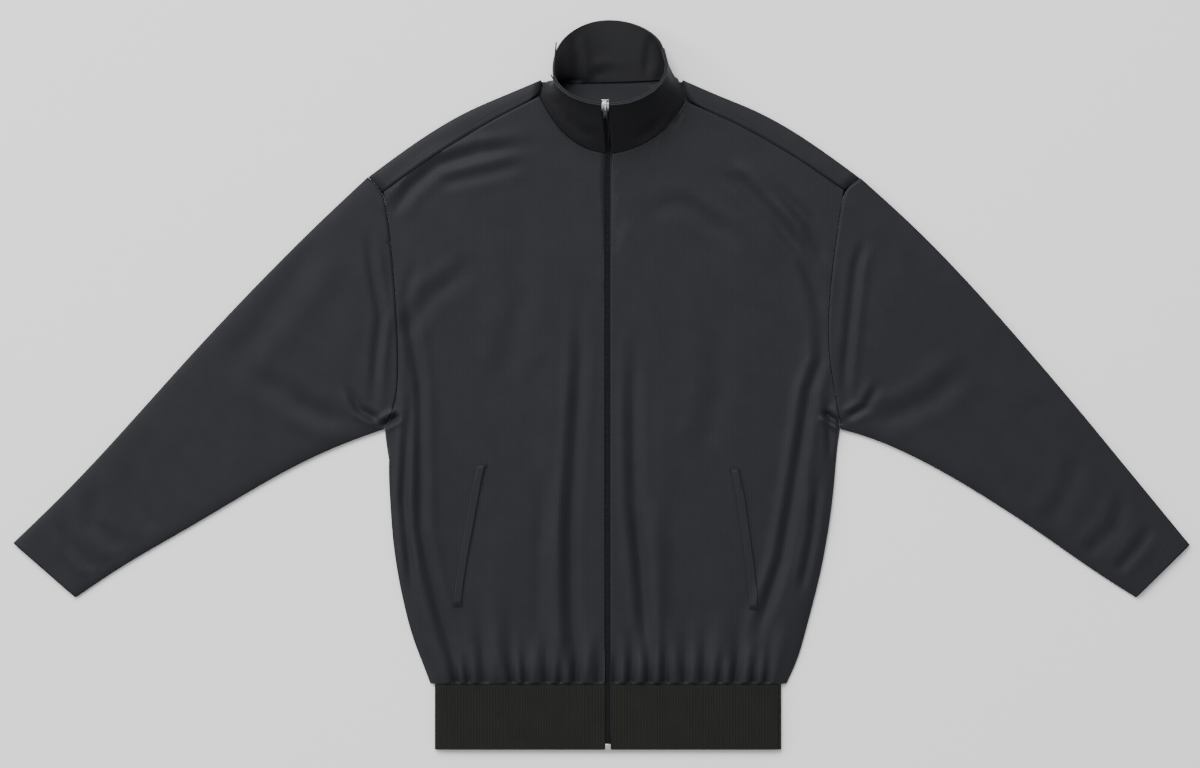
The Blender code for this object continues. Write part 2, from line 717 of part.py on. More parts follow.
def slider():
    """The slider: a plate over the cloth and one under the tapes, joined by a web and a post.

    Its own lines: y along the zip, z out of the collar's outer face."""
    over = SLIDER_PLATE + SEAM_GAP
    under = -(COLLAR_WALL + TAPE_EASE + TAPE_WALL + SEAM_GAP + SLIDER_PLATE)
    high = over + BRIDGE_HOLE / 2 + PULL_BAR / 2 + 0.3 + BRIDGE_WALL
    obj = block("zip_slider", (SLIDER_WIDTH, SLIDER_LENGTH, over - under), (0, 0, (over + under) / 2))
    channel = over - under - 2 * SLIDER_PLATE
    middle = (over + under) / 2
    half = SLIDER_LENGTH / 2
    for sign in (-1, 1):
        reach = SLIDER_WIDTH
        web = block(f"channel_{sign}", (reach, SLIDER_LENGTH + 2, channel),
                    (sign * (SLIDER_WEB / 2 + reach / 2), -POST_LENGTH - 1, middle))
        cut(obj, web)
        shoulder = block(f"mouth_{sign}", (reach, POST_LENGTH + 2, channel),
                         (sign * (SLIDER_POST / 2 + reach / 2), half, middle))
        cut(obj, shoulder)
    bridge = block("bridge", (BRIDGE_WIDTH, BRIDGE_LENGTH, high - over + 0.4),
                   (0, 0, (high + over - 0.4) / 2))
    hole = block("bridge_hole", (SLIDER_WIDTH, BRIDGE_HOLE, BRIDGE_HOLE),
                 (0, 0, over + BRIDGE_HOLE / 2))
    bridge.display_type = "WIRE"
    bridge.hide_render = True
    union = obj.modifiers.new("bridge", "BOOLEAN")
    union.operation = "UNION"
    union.object = bridge
    move_to_cutters(bridge, obj)
    cut(obj, hole)
    return finish(obj, "zip_slider", "zip_metal")


def move_to_cutters(piece, owner):
    for collection in list(piece.users_collection):
        collection.objects.unlink(piece)
    CUTTERS.objects.link(piece)
    piece.parent = owner


def pull():
    """The pull tab: a round bar through the bridge, an eye about it and a flat tab."""
    bpy.ops.mesh.primitive_cylinder_add(vertices=16, radius=PULL_BAR / 2 * MM, depth=PULL_WIDTH * MM,
                                        rotation=(0, math.pi / 2, 0))
    bar = bpy.context.object
    bpy.ops.object.transform_apply(location=False, rotation=True, scale=False)
    plate = block("plate", (PULL_WIDTH, PULL_LENGTH, PULL_WALL), (0, -PULL_LENGTH / 2, 0))
    eye = block("eye", (PULL_EYE_WIDTH, PULL_EYE_LENGTH, PULL_WALL * 3),
                (0, -PULL_EYE_LENGTH / 2, 0))
    cut(plate, eye)
    union = plate.modifiers.new("bar", "BOOLEAN")
    union.operation = "UNION"
    union.object = bar
    bar.hide_render = True
    bar.display_type = "WIRE"
    move_to_cutters(bar, plate)
    return finish(plate, "zip_pull", "pull_metal")


def place_zip_metal():
    """Seats the slider and its pull on the collar, and the box at the foot of the zip."""
    (y, z), slope = zip_frame()
    x = float(zip_line(y))
    seat = bpy.data.objects.new("slider_seat", None)
    JACKET.objects.link(seat)
    seat.parent = LAID
    seat.location = Vector((x, y, z)) * MM
    seat.rotation_euler = (slope, 0, 0)
    made = slider()
    made.parent = seat
    hinge = bpy.data.objects.new("pull_hinge", None)
    JACKET.objects.link(hinge)
    hinge.parent = seat
    hinge.location = (0, 0, (SLIDER_PLATE + SEAM_GAP + BRIDGE_HOLE / 2) * MM)
    hinge.rotation_euler = (math.radians(PULL_DROOP), 0, 0)
    tab = pull()
    tab.parent = hinge
    return seat, hinge


def bottom_box():
    """The box and pin at the foot of the zip, between the rib's ends."""
    foot = tape_line()[0][1] + SEAM_GAP
    obj = block("zip_box", (BOX_WIDTH, BOX_LENGTH, BOX_HEIGHT),
                (0, BOX_LENGTH / 2, foot + BOX_HEIGHT / 2))
    bevel = obj.modifiers.new("rounded", "BEVEL")
    bevel.width = 0.0005
    bevel.segments = 2
    return finish(obj, "zip_box", "zip_metal")


def settle():
    """Moves the whole jacket so that its box is centred over the origin and stands on it."""
    bpy.context.view_layer.update()
    graph = bpy.context.evaluated_depsgraph_get()
    low, high = np.full(3, 1e9), np.full(3, -1e9)
    for obj in JACKET.objects:
        if obj.type != "MESH":
            continue
        shown = obj.evaluated_get(graph)
        corners = np.array([obj.matrix_world @ v.co for v in shown.data.vertices])
        low, high = np.minimum(low, corners.min(0)), np.maximum(high, corners.max(0))
    LAID.location = (-(low[0] + high[0]) / 2, -(low[1] + high[1]) / 2, -low[2])


def build():
    """Makes every piece."""
    fronts = {}
    for side in ("right", "left"):
        grid = front_grid(side)
        if side == "right":
            grid = grid[:, ::-1]
        fronts[side] = cloth("front_" + side, [grid], CLOTH_WALL, "body_knit")
    cloth("back", [patch[:, ::-1] for patch in back_patches()], CLOTH_WALL, "body_knit")
    for side in ("right", "left"):
        grid = sleeve_grid(side)
        if side == "left":
            grid = grid[:, ::-1]
        cloth("sleeve_" + side, [grid], CLOTH_WALL, "body_knit")
    cloth("hem_rib", [rib_grid()[:, ::-1]], RIB_WALL, "rib_knit")
    cloth("collar", [collar_grid()[:, ::-1]], COLLAR_WALL, "body_knit")
    for side in ("right", "left"):
        welt(side, fronts[side])
        tape(side)
    place_zip_metal()
    bottom_box()
    settle()


for old in list(bpy.data.objects):
    bpy.data.objects.remove(old)
JACKET = bpy.data.collections.new("track_jacket")
CUTTERS = bpy.data.collections.new("cutters")
bpy.context.scene.collection.children.link(JACKET)
bpy.context.scene.collection.children.link(CUTTERS)
CUTTERS.hide_render = True
LAID = bpy.data.objects.new("laid_flat", None)
JACKET.objects.link(LAID)
build()
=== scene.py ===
# %% [markdown]
# # A black track jacket, laid flat
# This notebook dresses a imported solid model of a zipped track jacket: smooth double-knit cloth,
# a ribbed hem, a stand collar and a metal zip. The solids give every panel its place and form.
# Each cloth piece below starts as a copy of its own solid, is made fine with subdivision, and
# then gets the creases that a jacket has when somebody lays it on a table.

# %% Load the fixed frame
import json
import math

import bmesh
import bpy
import numpy as np
from mathutils import Matrix, Vector
from mathutils.bvhtree import BVHTree

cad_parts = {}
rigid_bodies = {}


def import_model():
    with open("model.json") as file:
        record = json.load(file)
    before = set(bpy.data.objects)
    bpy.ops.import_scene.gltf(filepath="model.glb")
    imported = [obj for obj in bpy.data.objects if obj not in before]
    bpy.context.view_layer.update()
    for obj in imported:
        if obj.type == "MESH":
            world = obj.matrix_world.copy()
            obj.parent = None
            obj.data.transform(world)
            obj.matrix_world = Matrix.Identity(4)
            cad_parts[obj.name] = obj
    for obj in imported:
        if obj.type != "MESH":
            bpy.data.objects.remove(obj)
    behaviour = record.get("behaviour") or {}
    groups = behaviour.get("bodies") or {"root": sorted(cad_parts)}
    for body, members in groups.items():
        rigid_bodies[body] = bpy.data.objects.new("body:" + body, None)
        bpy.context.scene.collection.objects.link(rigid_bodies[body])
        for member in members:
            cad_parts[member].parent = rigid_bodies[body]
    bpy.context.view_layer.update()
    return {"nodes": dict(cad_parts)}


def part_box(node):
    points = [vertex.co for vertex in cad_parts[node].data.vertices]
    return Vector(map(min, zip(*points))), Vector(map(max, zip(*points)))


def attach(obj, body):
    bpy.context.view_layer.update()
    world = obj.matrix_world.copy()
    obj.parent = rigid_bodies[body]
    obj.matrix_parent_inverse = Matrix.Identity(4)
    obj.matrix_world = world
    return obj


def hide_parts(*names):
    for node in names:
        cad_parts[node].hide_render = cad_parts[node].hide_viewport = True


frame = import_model()
bpy.ops.object.select_all(action="DESELECT")
print("solids:", sorted(frame["nodes"]))

# %% [markdown]
# ## The garment's own lines
# A cutter measures a jacket from the zip and from the hem. The same lines are used here, in
# millimetres: x from the zip towards the wearer's left, y up from the hem, z off the table.

# %% Lines of the garment
MM = 0.001
box_low, box_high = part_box("zip_box")
rib_low, rib_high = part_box("hem_rib")
ZIP_X = (box_low.x + box_high.x) / 2
HEM_Y = rib_low.y
RIB_HIGH = (rib_high.y - rib_low.y) / MM
LOFT = rib_high.z / MM


def garment(points):
    """Places in metres, read on the garment's lines in millimetres."""
    return (points - np.array([ZIP_X, HEM_Y, 0.0])) / MM


print(f"zip at x {ZIP_X:.4f} m, rib {RIB_HIGH:.1f} mm deep, layers {LOFT:.1f} mm together")

# %% [markdown]
# ## The camera
# The jacket lies on a table and is looked at from straight above, with a portrait lens far
# enough away that the standing collar hardly leans outwards.

# %% Camera straight above
VIEW_CENTRE = (ZIP_X - 9.2 * MM, HEM_Y + 420.9 * MM)
VIEW_HEIGHT = 3.265
camera_data = bpy.data.cameras.new("view")
camera_data.lens = 85
camera = bpy.data.objects.new("view", camera_data)
camera.location = (*VIEW_CENTRE, VIEW_HEIGHT)
bpy.context.scene.collection.objects.link(camera)
bpy.context.scene.camera = camera
print("camera", VIEW_HEIGHT, "m above the table")

# %% [markdown]
# ## Creases
# Each crease is a soft trough with a low ridge on one or both sides. The tables give the places
# a fold runs through, how wide it is and how deep. Long ones hang from the zip and down the
# sides, where the full body is drawn into a tighter rib; others fan from the armholes.

# %% Tables of creases
CREASES = (  # (x, y) points from one end to the other, half-width, depth (below 0: a raised fold)
    (((-40, 89), (-42, 158), (-44, 252), (-38, 347), (-32, 442), (-32, 529)), 6.5, 1.7),
    (((42, 85), (46, 119), (38, 214), (31, 279), (29, 385), (31, 488)), 6.5, 1.8),
    (((-64, 92), (-60, 200), (-55, 330)), 9.0, -1.5),
    (((63, 92), (58, 190), (52, 300)), 9.0, -1.5),
    (((-163, 85), (-183, 120), (-198, 176), (-215, 252), (-215, 309), (-217, 423), (-232, 518),
      (-218, 575)), 6.0, 2.3),
    (((-224, 176), (-234, 290), (-228, 393), (-232, 469)), 4.5, 1.9),
    (((167, 120), (181, 161), (200, 218), (211, 279), (222, 347), (232, 412), (245, 450),
      (243, 518)), 6.0, 2.4),
    (((253, 404), (256, 328)), 4.0, 1.4),
    (((222, 180), (236, 250), (243, 320)), 4.5, 1.6),
    (((-252, 613), (-227, 646), (-197, 672), (-150, 687), (-80, 696)), 6.5, 1.6),
    (((-197, 650), (-146, 661), (-87, 677)), 6.0, 1.1),
    (((133, 665), (155, 650), (191, 611), (217, 569)), 7.0, 1.8),
    (((45, 624), (85, 628), (136, 595), (155, 573)), 8.0, 1.1),
    (((250, 560), (230, 610), (190, 650)), 6.0, 1.5),
    (((248, 500), (225, 570), (190, 622)), 6.5, 1.3),
    (((-240, 470), (-205, 520), (-150, 560)), 9.0, 0.9),
    (((-120, 420), (-100, 520), (-110, 600)), 12.0, 0.8),
    (((110, 340), (130, 430), (120, 520)), 12.0, 0.8),
    (((-277, 593), (-271, 552), (-261, 500), (-267, 448), (-270, 386)), 4.5, 1.8),
    (((298, 590), (286, 559), (279, 497), (274, 448), (272, 417), (279, 393)), 4.5, 1.8),
    (((-262, 372), (-238, 386)), 3.5, 2.6),
    (((-262, 378), (-286, 392), (-300, 420)), 4.0, 2.0),
    (((270, 374), (245, 390)), 3.5, 2.6),
    (((272, 380), (296, 394), (312, 424)), 4.0, 2.0),
    (((-300, 372), (-360, 400), (-410, 440)), 10.0, 1.3),
    (((306, 374), (370, 402), (420, 446)), 10.0, 1.3),
    (((-330, 590), (-390, 500), (-450, 420)), 14.0, 0.9),
    (((340, 590), (400, 500), (455, 420)), 14.0, 0.9),
    (((-560, 228), (-592, 262), (-600, 300)), 7.0, 1.3),
    (((-590, 206), (-618, 236), (-634, 262)), 5.5, 1.4),
    (((-520, 250), (-545, 292), (-560, 340)), 9.0, 0.9),
    (((548, 222), (584, 258), (596, 300)), 7.0, 1.3),
    (((584, 204), (612, 236), (628, 262)), 5.5, 1.4),
    (((505, 256), (530, 300), (545, 345)), 9.0, 0.9),
)
PLEATS = (  # x at the rib seam, how far the pleat leans and rises, half-width, depth
    (-174, -9, 62, 4.2, 2.9), (-160, -6, 46, 3.4, 2.2), (-142, -5, 88, 4.6, 1.9),
    (-110, -4, 70, 4.4, 2.9), (-95, -3, 52, 3.6, 2.6), (-71, 3, 82, 4.6, 2.7),
    (-55, 1, 40, 3.4, 1.9), (-37, 2, 66, 4.4, 2.8), (-11, 1, 46, 4.0, 2.2),
    (9, 1, 52, 3.8, 2.2), (26, 4, 74, 4.6, 2.9), (47, 3, 58, 4.0, 2.6), (66, -2, 86, 4.4, 2.7),
    (88, 2, 44, 3.4, 2.0), (110, 3, 72, 4.6, 2.7), (128, 4, 42, 3.6, 1.9),
    (146, 6, 66, 4.4, 2.8), (167, 8, 54, 3.8, 2.6), (181, 9, 70, 4.0, 2.4),
)
print(len(CREASES), "creases and", len(PLEATS), "pleats at the rib")


# %% Crease shapes
CREASE_DEPTH = 1.5
PLEAT_DEPTH = 1.7


def smooth_step(t):
    t = np.clip(t, 0, 1)
    return t * t * (3 - 2 * t)


def crease_lift(places, points, half_width, depth):
    """How far a crease moves each place: a trough through the points, softer at its ends."""
    line = np.array(points, float)
    spans = np.linalg.norm(np.diff(line, axis=0), axis=1)
    starts = np.concatenate([[0], np.cumsum(spans)])
    nearest = np.full(len(places), 1e9)
    run = np.zeros(len(places))
    sided = np.zeros(len(places))
    for a, b, span, start in zip(line[:-1], line[1:], spans, starts):
        rel = places - a
        t = np.clip(rel @ (b - a) / span**2, 0, 1)
        off = rel - t[:, None] * (b - a)
        gap = np.linalg.norm(off, axis=1)
        closer = gap < nearest
        side = np.sign((b - a)[0] * off[:, 1] - (b - a)[1] * off[:, 0])
        sided = np.where(closer, side, sided)
        run = np.where(closer, (start + t * span) / starts[-1], run)
        nearest = np.minimum(nearest, gap)
    ends = smooth_step(run / 0.22 + 0.15) * smooth_step((1 - run) / 0.35 + 0.1)
    across = nearest / half_width
    trough = -np.exp(-across**2)
    ridge = 0.55 * np.exp(-((across - 2.1) / 1.0) ** 2) * (1 + 0.45 * sided)
    return CREASE_DEPTH * depth * ends * (trough + ridge)


def pleat_lift(places):
    """The gathers above the rib: pinched notches with full lobes between them."""
    x, y = places[:, 0], places[:, 1]
    total = np.zeros(len(places))
    above = np.maximum(y - RIB_HIGH, 0)
    for foot, lean, rise, half_width, depth in PLEATS:
        up = above / rise
        line = foot + lean * up
        width = half_width * (1 + 0.8 * up)
        fall = np.exp(-(up * 1.25) ** 2)
        across = np.abs(x - line) / width
        total += depth * fall * (0.42 * np.exp(-((across - 2.2) / 1.1) ** 2) - np.exp(-across**2))
    return PLEAT_DEPTH * total * smooth_step(above / 4 + 0.25)


def cloth_lift(places):
    """The lift of every crease and pleat, in millimetres, at places on the garment's lines."""
    total = np.zeros(len(places))
    for points, half_width, depth in CREASES:
        total += crease_lift(places, points, half_width, depth)
    x, y = places[:, 0], places[:, 1]
    total += 0.35 * np.sin(x / 31 + 1.3 * np.sin(y / 67)) * np.sin(y / 83 + 0.6 * np.sin(x / 47))
    return total * smooth_step((y - RIB_HIGH) / 12) + pleat_lift(places) * (y > RIB_HIGH - 3)


print("lift at a chest fold:", cloth_lift(np.array([[191.0, 611.0]])).round(2))

# %% [markdown]
# ## Cloth and metal finishes
# The body is a smooth polyester double knit. It is nearly black with a cool cast, has a faint
# sheen, and shows fine wales when seen close. The rib is matt and a little warmer. Patterns
# read object coordinates, so they stay fixed to the cloth.


# %% Knit material
def node(tree, kind, **values):
    made = tree.nodes.new(kind)
    for name, value in values.items():
        made.inputs[name].default_value = value
    return made


BAND_SCALE = 0.1
COURSES_TO_WALES = 1.3


def knit(name, colour, dark, turn, wale, bump, roughness, sheen):
    """A knitted cloth over a mottled colour, its wales turned by `turn` degrees.

    A wave texture repeats every 0.314 / Scale, so the wales lie about 3.14 times `wale` apart.
    """
    made = bpy.data.materials.new(name)
    made.use_nodes = True
    tree = made.node_tree
    shader = tree.nodes["Principled BSDF"]
    shader.inputs["Roughness"].default_value = roughness
    shader.inputs["Sheen Weight"].default_value = sheen
    shader.inputs["Sheen Roughness"].default_value = 0.45
    shader.inputs["Specular IOR Level"].default_value = 0.15
    place = tree.nodes.new("ShaderNodeTexCoord")
    mapping = tree.nodes.new("ShaderNodeMapping")
    mapping.inputs["Rotation"].default_value = (0, 0, math.radians(turn))
    tree.links.new(place.outputs["Object"], mapping.inputs["Vector"])
    wales = node(tree, "ShaderNodeTexWave", Scale=BAND_SCALE / wale, Distortion=0.6)
    wales.bands_direction = "X"
    courses = node(tree, "ShaderNodeTexWave", Scale=BAND_SCALE / wale * COURSES_TO_WALES,
                   Distortion=0.4)
    courses.bands_direction = "Y"
    mottle = node(tree, "ShaderNodeTexNoise", Scale=38.0, Detail=6.0, Roughness=0.6)
    fuzz = node(tree, "ShaderNodeTexNoise", Scale=1400.0, Detail=2.0)
    for texture in (wales, courses, mottle, fuzz):
        tree.links.new(mapping.outputs["Vector"], texture.inputs["Vector"])
    ramp = tree.nodes.new("ShaderNodeMix")
    ramp.data_type = "RGBA"
    ramp.inputs["A"].default_value = (*dark, 1)
    ramp.inputs["B"].default_value = (*colour, 1)
    shade = node(tree, "ShaderNodeMath")
    shade.operation = "MULTIPLY_ADD"
    shade.inputs[1].default_value = 0.35
    tree.links.new(wales.outputs["Fac"], shade.inputs[0])
    tree.links.new(mottle.outputs["Fac"], shade.inputs[2])
    tree.links.new(shade.outputs["Value"], ramp.inputs["Factor"])
    tree.links.new(ramp.outputs["Result"], shader.inputs["Base Color"])
    height = node(tree, "ShaderNodeMath")
    height.operation = "MULTIPLY"
    tree.links.new(wales.outputs["Fac"], height.inputs[0])
    tree.links.new(courses.outputs["Fac"], height.inputs[1])
    rough = node(tree, "ShaderNodeMath")
    rough.operation = "MULTIPLY_ADD"
    rough.inputs[1].default_value = 0.5
    tree.links.new(fuzz.outputs["Fac"], rough.inputs[0])
    tree.links.new(height.outputs["Value"], rough.inputs[2])
    relief = node(tree, "ShaderNodeBump", Strength=0.5, Distance=bump)
    tree.links.new(rough.outputs["Value"], relief.inputs["Height"])
    tree.links.new(relief.outputs["Normal"], shader.inputs["Normal"])
    return made


BODY = dict(colour=(0.0165, 0.0172, 0.0205), dark=(0.0105, 0.0110, 0.0130), wale=0.0011,
            bump=0.00012, roughness=0.6, sheen=0.03)
CLOTHS = {
    "front": knit("body_knit", turn=0, **BODY),
    "sleeve_right": knit("sleeve_knit_right", turn=39, **BODY),
    "sleeve_left": knit("sleeve_knit_left", turn=-39, **BODY),
    "collar": knit("collar_knit", (0.0120, 0.0122, 0.0140), (0.0080, 0.0082, 0.0095), 0, 0.0011,
                   0.00012, 0.65, 0.02),
    "rib": knit("rib_knit", (0.0125, 0.0125, 0.0115), (0.0070, 0.0070, 0.0064), 0, 0.0012,
                0.0002, 0.8, 0.02),
    "tape": knit("zip_tape", (0.013, 0.0135, 0.015), (0.008, 0.008, 0.009), 45,
                 0.0008, 0.0001, 0.6, 0.02),
    "thread": knit("thread", (0.019, 0.020, 0.023), (0.012, 0.0125, 0.014), 20, 0.0006,
                   0.0001, 0.5, 0.03),
}


# %% [markdown]
# ## Metal
# Cast zip parts are plated and slightly grained. Noise changes their gloss a little, which
# keeps them from looking like plastic, and a very small bump breaks up the highlights.

# %% Metal material
def metal(name, colour, roughness):
    """Cast metal with a slight grain and small changes of gloss."""
    made = bpy.data.materials.new(name)
    made.use_nodes = True
    tree = made.node_tree
    shader = tree.nodes["Principled BSDF"]
    shader.inputs["Base Color"].default_value = (*colour, 1)
    shader.inputs["Metallic"].default_value = 1.0
    place = tree.nodes.new("ShaderNodeTexCoord")
    grain = node(tree, "ShaderNodeTexNoise", Scale=900.0, Detail=4.0)
    tree.links.new(place.outputs["Object"], grain.inputs["Vector"])
    gloss = tree.nodes.new("ShaderNodeMapRange")
    gloss.inputs["To Min"].default_value = roughness * 0.7
    gloss.inputs["To Max"].default_value = roughness * 1.3
    tree.links.new(grain.outputs["Fac"], gloss.inputs["Value"])
    tree.links.new(gloss.outputs["Result"], shader.inputs["Roughness"])
    relief = node(tree, "ShaderNodeBump", Strength=0.3, Distance=0.00005)
    tree.links.new(grain.outputs["Fac"], relief.inputs["Height"])
    tree.links.new(relief.outputs["Normal"], shader.inputs["Normal"])
    return made


SILVER = metal("zip_metal", (0.72, 0.72, 0.74), 0.28)
GUNMETAL = metal("pull_metal", (0.12, 0.12, 0.13), 0.35)
print("finishes:", [m.name for m in bpy.data.materials])

# %% [markdown]
# ## Cloth pieces
# A panel could be drawn again from nothing, but its solid already has the right cut and place.
# So a copy of it is welded, turned to quads and subdivided, which also rounds the cut edges, and
# every seam then shows as a fine groove. The creases move only the upper layer.


# %% Make a cloth piece from its solid
def select_only(obj):
    bpy.ops.object.select_all(action="DESELECT")
    obj.select_set(True)
    bpy.context.view_layer.objects.active = obj


CUT_EDGE_ANGLE = math.radians(62)


def fine_copy(name, solid, levels):
    """A welded, subdivided copy of a solid, with its cut edges kept where they are."""
    piece = bpy.data.objects.new(name, frame["nodes"][solid].data.copy())
    bpy.context.scene.collection.objects.link(piece)
    select_only(piece)
    bpy.ops.object.mode_set(mode="EDIT")
    bpy.ops.mesh.select_all(action="SELECT")
    bpy.ops.mesh.remove_doubles(threshold=0.00002)
    bpy.ops.mesh.tris_convert_to_quads(face_threshold=math.radians(60),
                                       shape_threshold=math.radians(70))
    bpy.ops.mesh.select_all(action="DESELECT")
    bpy.ops.mesh.select_mode(type="EDGE")
    bpy.ops.mesh.edges_select_sharp(sharpness=CUT_EDGE_ANGLE)
    bpy.ops.transform.edge_crease(value=1.0)
    bpy.ops.object.mode_set(mode="OBJECT")
    if not levels:
        return piece
    fine = piece.modifiers.new("fine", "SUBSURF")
    fine.levels = levels
    fine.render_levels = levels
    bpy.ops.object.modifier_apply(modifier=fine.name)
    return piece


def mesh_points(piece):
    flat = np.empty(len(piece.data.vertices) * 3)
    piece.data.vertices.foreach_get("co", flat)
    return flat.reshape(-1, 3)


def upper_share(heights):
    """1 on the upper layer, 0 on the layer that rests on the table."""
    return smooth_step((heights - 2.2) / 2.2)


def crease(piece, lift):
    """Moves a piece's upper layer by a lift function of its place."""
    points = mesh_points(piece)
    lines = garment(points)
    points[:, 2] += lift(lines[:, :2]) * upper_share(lines[:, 2]) * MM
    piece.data.vertices.foreach_set("co", points.ravel())
    piece.data.update()


def cloth_piece(name, solid, levels, finish, area, lift=None,
                shape=None):
    """One cloth piece: fine copy, creases, finish, and what the frame needs to know of it."""
    piece = fine_copy(name, solid, levels)
    if lift:
        crease(piece, lift)
    if shape:
        shape(piece)
    piece.data.materials.clear()
    piece.data.materials.append(CLOTHS[finish])
    piece.data.shade_smooth()
    piece.data.set_sharp_from_angle(angle=math.radians(50))
    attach(piece, "jacket")
    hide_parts(solid)
    shown = sum(polygon.area for polygon in piece.data.polygons) / 2
    print(f"{name}: {len(piece.data.polygons)} faces, {shown:.4f} for a cut of {area} square metres")
    return piece


# %% Fronts, back and sleeves
front_right = cloth_piece("shell_front_right", "front_right", 3, "front",
                          0.1525, cloth_lift)
front_left = cloth_piece("shell_front_left", "front_left", 3, "front",
                         0.158, cloth_lift)
back = cloth_piece("shell_back", "back", 2, "front", 0.339, cloth_lift)
sleeve_right = cloth_piece("shell_sleeve_right", "sleeve_right", 3, "sleeve_right",
                           0.169, cloth_lift)
sleeve_left = cloth_piece("shell_sleeve_left", "sleeve_left", 3, "sleeve_left",
                          0.164, cloth_lift)

# %% [markdown]
# ## The ribbed hem
# A rib is knitted in raised wales with sunk ones between, so light catches every wale. A bump
# would look flat at the edges. So the band is cut across at every quarter of a wale, and the
# sunk places are pressed in along their normals.

# %% Rib
RIB_PITCH = 3.1
RIB_RELIEF = 0.75


def ribbed(piece):
    """Cuts a piece at every quarter of a rib and presses the furrows in."""
    select_only(piece)
    bpy.ops.object.mode_set(mode="EDIT")
    step = RIB_PITCH / 4
    first = math.ceil((rib_low.x - ZIP_X) / MM / step)
    last = math.floor((rib_high.x - ZIP_X) / MM / step)
    for quarter in range(first, last + 1):
        bpy.ops.mesh.select_all(action="SELECT")
        bpy.ops.mesh.bisect(plane_co=(ZIP_X + quarter * step * MM, 0, 0), plane_no=(1, 0, 0))
    bpy.ops.object.mode_set(mode="OBJECT")
    points = mesh_points(piece)
    normals = np.array([v.normal for v in piece.data.vertices])
    turns = garment(points)[:, 0] / RIB_PITCH
    sunk = (1 - np.cos(2 * math.pi * turns)) / 2 * RIB_RELIEF * MM
    points -= normals * sunk[:, None]
    piece.data.vertices.foreach_set("co", points.ravel())
    piece.data.update()


rib = cloth_piece("shell_hem_rib", "hem_rib", 0, "rib", 0.0598,
                  shape=ribbed)

# %% [markdown]
# ## Collar, welts and tapes
# The collar stands open on the table, so its back leans away and shows its inside. It bends
# where the back turns into the sides. A fine cord follows the part of the rim that stands up.

# %% Collar
COLLAR_CREASES = (
    (((-42, 822), (-36, 799), (-35, 781), (-35, 757)), 4.5, 1.6),
    (((52, 825), (48, 807), (45, 781), (45, 759)), 4.5, 1.6),
    (((-49, 727), (-30, 711), (-11, 701)), 5.0, 1.3),
    (((69, 730), (48, 712), (25, 699)), 5.0, 1.3),
    (((-20, 775), (4, 779), (28, 775)), 6.0, 1.0),
    (((-66, 742), (-58, 726), (-44, 713)), 5.0, -0.9),
    (((76, 740), (68, 726), (56, 714)), 5.0, -0.9),
)


def collar_lift(places):
    return sum(crease_lift(places, points, width, depth) for points, width, depth in COLLAR_CREASES)


collar = cloth_piece("shell_collar", "collar", 3, "collar", 0.0218,
                     collar_lift)

# %% Piping along the rim
PIPING_RADIUS = 0.8
RIM_ABOVE = 22


def rim_piping():
    """A thin cord along the cut edges of the collar that stand higher than RIM_ABOVE."""
    line = fine_copy("collar_piping", "collar", 0)
    select_only(line)
    bpy.ops.object.mode_set(mode="EDIT")
    bpy.ops.mesh.select_mode(type="EDGE")
    bpy.ops.mesh.select_all(action="DESELECT")
    mesh = bmesh.from_edit_mesh(line.data)
    for edge in mesh.edges:
        a, b = (garment(np.array(v.co)) for v in edge.verts)
        sharp = edge.calc_face_angle(0) > CUT_EDGE_ANGLE
        beside_zip = abs(a[0] + 2) < 11 and abs(b[0] + 2) < 11 and min(a[1], b[1]) < 760
        if sharp and min(a[2], b[2]) > RIM_ABOVE and not beside_zip:
            edge.select = True
    bmesh.update_edit_mesh(line.data)
    bpy.ops.mesh.select_all(action="INVERT")
    bpy.ops.mesh.delete(type="EDGE")
    bpy.ops.object.mode_set(mode="OBJECT")
    loose = len(line.data.edges)
    bpy.ops.object.convert(target="CURVE")
    line.data.bevel_depth = PIPING_RADIUS * MM
    line.data.bevel_resolution = 2
    line.data.use_fill_caps = True
    bpy.ops.object.convert(target="MESH")
    line.data.materials.clear()
    line.data.materials.append(CLOTHS["thread"])
    line.data.shade_smooth()
    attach(line, "jacket")
    print(f"piping: {loose} spans, {len(line.data.polygons)} faces")


rim_piping()

# %% [markdown]
# ## Neck tape
# A narrow tape covers the seam between back and collar. A flat grid is moved to its place and
# given a thin wall, since a tape this short has no folds.

# %% Tape over the back neck seam
NECK_SEAM_Y = 766.0


def neck_tape():
    """A flat tape over the seam that joins the back to the collar, inside the neck."""
    bpy.ops.object.select_all(action="DESELECT")
    bpy.ops.mesh.primitive_grid_add(x_subdivisions=28, y_subdivisions=2, size=1)
    tape = bpy.context.object
    tape.name = "neck_tape"
    points = mesh_points(tape)
    across = points[:, 0] * 134 + 3.5
    up = NECK_SEAM_Y + points[:, 1] * 17
    points[:, 0], points[:, 1] = ZIP_X + across * MM, HEM_Y + up * MM
    points[:, 2] = 0.9 * MM
    tape.data.vertices.foreach_set("co", points.ravel())
    wall = tape.modifiers.new("wall", "SOLIDIFY")
    wall.thickness = 0.0005
    bpy.ops.object.modifier_apply(modifier=wall.name)
    tape.data.materials.append(CLOTHS["thread"])
    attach(tape, "jacket")


neck_tape()

# %% Welts and tapes
for side in ("right", "left"):
    cloth_piece("shell_welt_" + side, "pocket_welt_" + side, 2, "front",
                0.00145, cloth_lift)
    cloth_piece("shell_tape_" + side, "zip_tape_" + side, 1, "tape",
                0.0047, None)

# %% [markdown]
# ## Stitching
# A twin needle sews two rows 6.4 mm apart along the shoulders, and 6.5 mm apart round the cuffs.
# One stitch is modelled once, as a short round-ended thread, and copied along each row, pressed
# onto the cloth beneath it.

# %% One stitch, and rows of it
STITCH_STEP = 3.0
STITCH_LENGTH = 2.3
STITCH_WIDTH = 0.55


